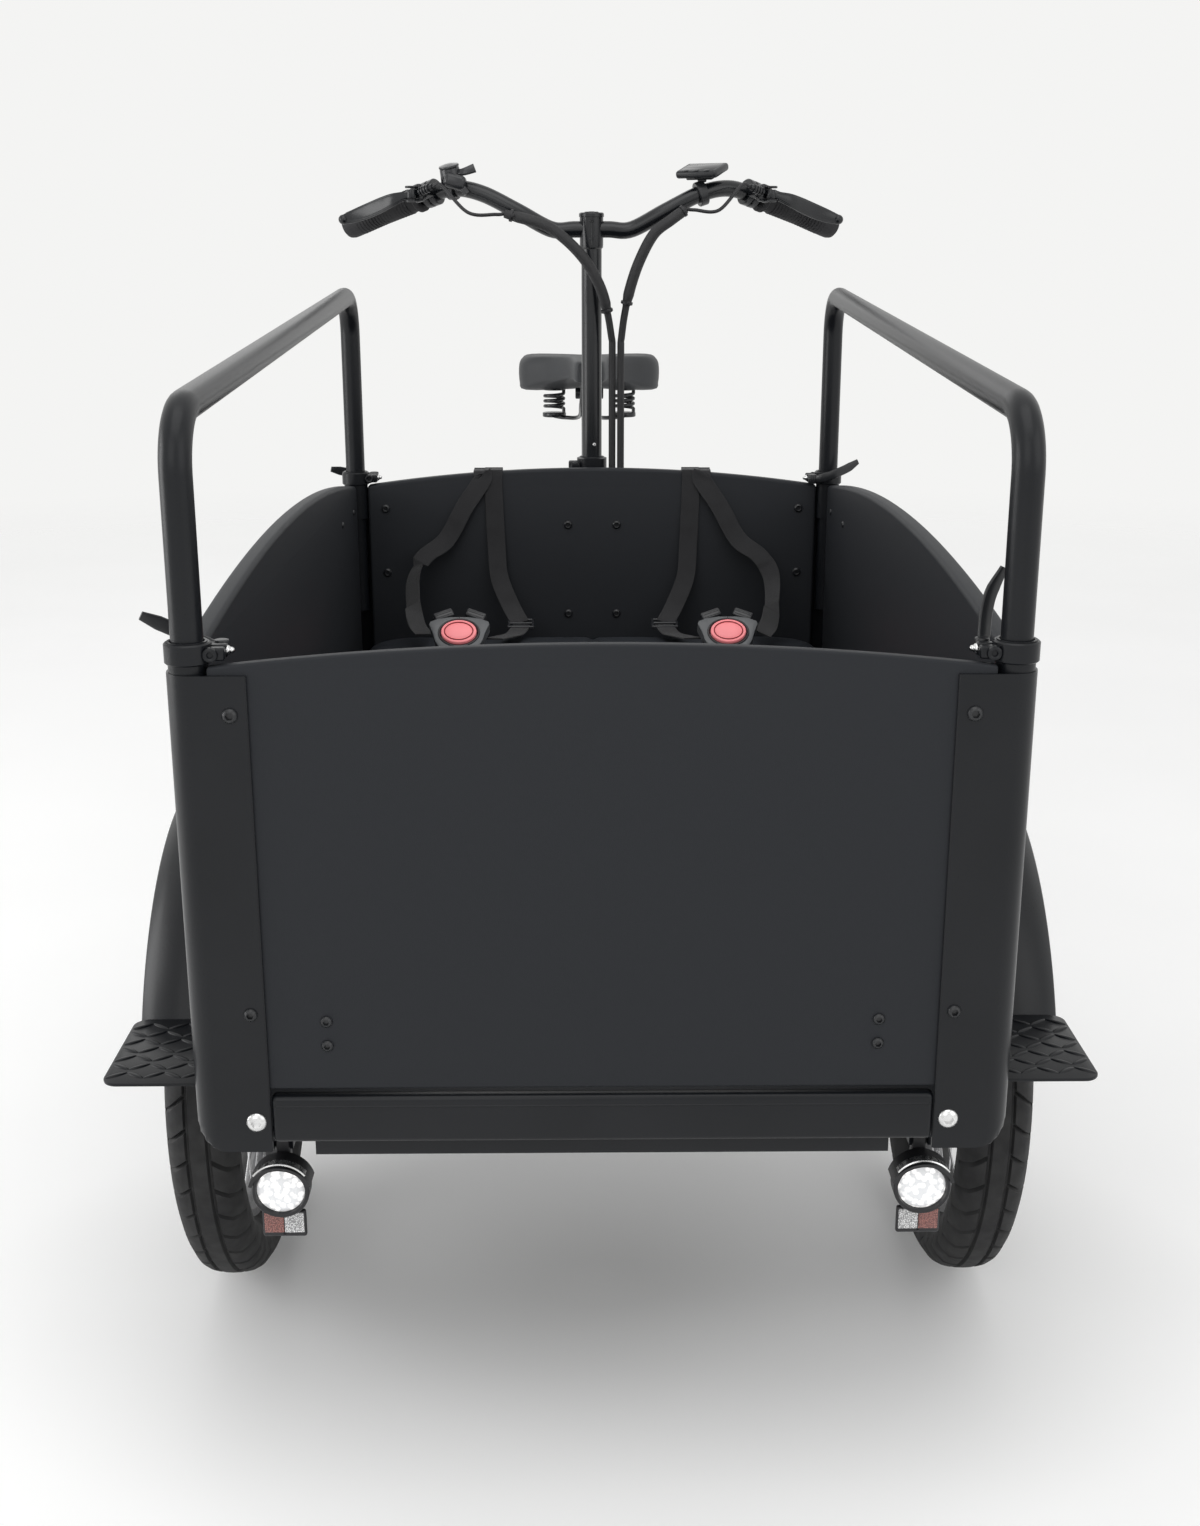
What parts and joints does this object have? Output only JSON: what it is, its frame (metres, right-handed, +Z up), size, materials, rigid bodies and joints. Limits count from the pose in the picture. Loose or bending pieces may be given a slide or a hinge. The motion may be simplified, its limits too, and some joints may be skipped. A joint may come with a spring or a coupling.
{
  "type": "cargo tricycle",
  "caption": "Electric cargo tricycle with an open load box, bench, harnesses and hand rails between the two front wheels, steered against a rear frame with hub motor",
  "frame": {"origin": "centre of the whole trike's footprint, on the ground", "axes": "+Z up, -Y is the way the trike faces, +X is the rider's left"},
  "size_m": [0.874, 2.286, 1.203],
  "materials": {
    "powder_coat": "anthracite satin powder coat",
    "panel_coat": "plywood with an anthracite coat of fine texture",
    "cushion_cover": "dark grey woven cover",
    "webbing": "black woven webbing",
    "black_plastic": "moulded black plastic",
    "red_plastic": "coral red moulded plastic",
    "black_rubber": "black rubber",
    "tyre": "black tyre rubber",
    "steel": "plain steel"
  },
  "bodies": {
    "carriage": {"front_panel": "panel_coat", "back_panel": "panel_coat", "floor_panel": "panel_coat", "front_crossbar": "powder_coat", "bench_board": "panel_coat", "bench_cushion": "cushion_cover", "front_chassis": "powder_coat", "steering_bracket": "powder_coat", "side_panel_right": "panel_coat", "side_panel_left": "panel_coat", "corner_post_front_right": "powder_coat", "corner_post_front_left": "powder_coat", "corner_post_rear_right": "powder_coat", "corner_post_rear_left": "powder_coat", "front_fender_right": "powder_coat", "front_fender_left": "powder_coat", "step_right": "powder_coat", "step_left": "powder_coat", "harness_right": "webbing", "harness_left": "webbing", "buckle_right": "black_plastic", "buckle_left": "black_plastic"},
    "column": {"stem": "powder_coat", "handlebar": "powder_coat", "display": "black_plastic", "grip_right": "black_rubber", "grip_left": "black_rubber", "cable_sleeve_right": "black_rubber", "cable_sleeve_left": "black_rubber"},
    "rear_frame": {"rear_frame": "powder_coat", "rear_fender": "black_plastic", "chain": "steel"},
    "rear_wheel": {"rear_wheel": "steel", "rear_tyre": "tyre"},
    "sprocket": {"sprocket": "steel"},
    "crankset": {"crankset": "powder_coat"},
    "seat": {"seat_post": "powder_coat", "saddle": "black_plastic", "saddle_spring_right": "steel", "saddle_spring_left": "steel"},
    "battery": {"battery": "black_plastic"},
    "front_wheel_right": {"front_wheel_right": "steel", "front_tyre_right": "tyre"},
    "hand_rail_right": {"hand_rail_right": "powder_coat"},
    "clamp_lever_front_right": {"clamp_lever_front_right": "black_plastic"},
    "clamp_lever_rear_right": {"clamp_lever_rear_right": "black_plastic"},
    "lamp_right": {"lamp_right": "black_plastic"},
    "brake_lever_right": {"brake_lever_right": "powder_coat"},
    "pedal_right": {"pedal_right": "black_plastic"},
    "buckle_button_right": {"buckle_button_right": "red_plastic"},
    "front_wheel_left": {"front_wheel_left": "steel", "front_tyre_left": "tyre"},
    "hand_rail_left": {"hand_rail_left": "powder_coat"},
    "clamp_lever_front_left": {"clamp_lever_front_left": "black_plastic"},
    "clamp_lever_rear_left": {"clamp_lever_rear_left": "black_plastic"},
    "lamp_left": {"lamp_left": "black_plastic"},
    "brake_lever_left": {"brake_lever_left": "powder_coat"},
    "pedal_left": {"pedal_left": "black_plastic"},
    "buckle_button_left": {"buckle_button_left": "red_plastic"}
  },
  "joints": [
    {"name": "steer", "type": "hinge", "parent": "carriage", "child": "rear_frame", "pos_m": [0, -0.33999, 0.285], "axis": [0, 0, 1], "range_deg": [-24, 24]},
    {"name": "rear_wheel_spin", "type": "hinge", "parent": "rear_frame", "child": "rear_wheel", "pos_m": [0, 0.79149, 0.335], "axis": [1, 0, 0], "continuous": true},
    {"name": "crank_spin", "type": "hinge", "parent": "rear_frame", "child": "crankset", "pos_m": [0, 0.35001, 0.285], "axis": [1, 0, 0], "continuous": true},
    {"name": "sprocket_spin", "type": "hinge", "parent": "rear_frame", "child": "sprocket", "pos_m": [0, 0.79149, 0.335], "axis": [1, 0, 0], "continuous": true},
    {"name": "seat_height", "type": "slide", "parent": "rear_frame", "child": "seat", "axis": [0, 0.3892, 0.9211], "range_m": [-0.08, 0.06]},
    {"name": "stem_height", "type": "slide", "parent": "carriage", "child": "column", "axis": [0, 0, 1], "range_m": [0, 0.06]},
    {"name": "battery_slide", "type": "slide", "parent": "carriage", "child": "battery", "axis": [0, -1, 0], "range_m": [0, 0.125]},
    {"name": "front_wheel_spin_right", "type": "hinge", "parent": "carriage", "child": "front_wheel_right", "pos_m": [-0.389, -0.69899, 0.262], "axis": [1, 0, 0], "continuous": true},
    {"name": "rail_height_right", "type": "slide", "parent": "carriage", "child": "hand_rail_right", "axis": [0, 0, 1], "range_m": [-0.08, 0.12]},
    {"name": "clamp_front_right", "type": "hinge", "parent": "carriage", "child": "clamp_lever_front_right", "pos_m": [-0.3052, -1.10339, 0.7815], "axis": [0, 0, -1], "range_deg": [0, 90]},
    {"name": "clamp_rear_right", "type": "hinge", "parent": "carriage", "child": "clamp_lever_rear_right", "pos_m": [-0.3052, -0.01059, 0.7815], "axis": [0, 0, -1], "range_deg": [0, 90]},
    {"name": "lamp_tilt_right", "type": "hinge", "parent": "carriage", "child": "lamp_right", "pos_m": [-0.29, -1.04299, 0.312], "axis": [1, 0, 0], "range_deg": [-10, 10]},
    {"name": "brake_right", "type": "hinge", "parent": "column", "child": "brake_lever_right", "pos_m": [-0.24602, 0.03368, 1.15925], "axis": [0, 0, -1], "range_deg": [0, 12], "stiffness_Nm_per_rad": 1, "springref_deg": -11.46},
    {"name": "pedal_spin_right", "type": "hinge", "parent": "crankset", "child": "pedal_right", "pos_m": [-0.13, 0.18501, 0.285], "axis": [1, 0, 0], "continuous": true},
    {"name": "buckle_press_right", "type": "slide", "parent": "carriage", "child": "buckle_button_right", "axis": [0, 0.7071, -0.7071], "range_m": [0, 0.003], "stiffness_N_per_m": 300, "springref_m": -0.002},
    {"name": "front_wheel_spin_left", "type": "hinge", "parent": "carriage", "child": "front_wheel_left", "pos_m": [0.389, -0.69899, 0.262], "axis": [1, 0, 0], "continuous": true},
    {"name": "rail_height_left", "type": "slide", "parent": "carriage", "child": "hand_rail_left", "axis": [0, 0, 1], "range_m": [-0.08, 0.12]},
    {"name": "clamp_front_left", "type": "hinge", "parent": "carriage", "child": "clamp_lever_front_left", "pos_m": [0.3052, -1.10339, 0.7815], "axis": [0, 0, 1], "range_deg": [0, 90]},
    {"name": "clamp_rear_left", "type": "hinge", "parent": "carriage", "child": "clamp_lever_rear_left", "pos_m": [0.3052, -0.04659, 0.7815], "axis": [0, 0, -1], "range_deg": [0, 90]},
    {"name": "lamp_tilt_left", "type": "hinge", "parent": "carriage", "child": "lamp_left", "pos_m": [0.29, -1.04299, 0.312], "axis": [1, 0, 0], "range_deg": [-10, 10]},
    {"name": "brake_left", "type": "hinge", "parent": "column", "child": "brake_lever_left", "pos_m": [0.24602, 0.03368, 1.15925], "axis": [0, 0, 1], "range_deg": [0, 12], "stiffness_Nm_per_rad": 1, "springref_deg": -11.46},
    {"name": "pedal_spin_left", "type": "hinge", "parent": "crankset", "child": "pedal_left", "pos_m": [0.13, 0.51501, 0.285], "axis": [1, 0, 0], "continuous": true},
    {"name": "buckle_press_left", "type": "slide", "parent": "carriage", "child": "buckle_button_left", "axis": [0, 0.7071, -0.7071], "range_m": [0, 0.003], "stiffness_N_per_m": 300, "springref_m": -0.002}
  ],
  "couplings": [
    {"joint": "sprocket_spin", "follows": "crank_spin", "ratio": 2}
  ]
}
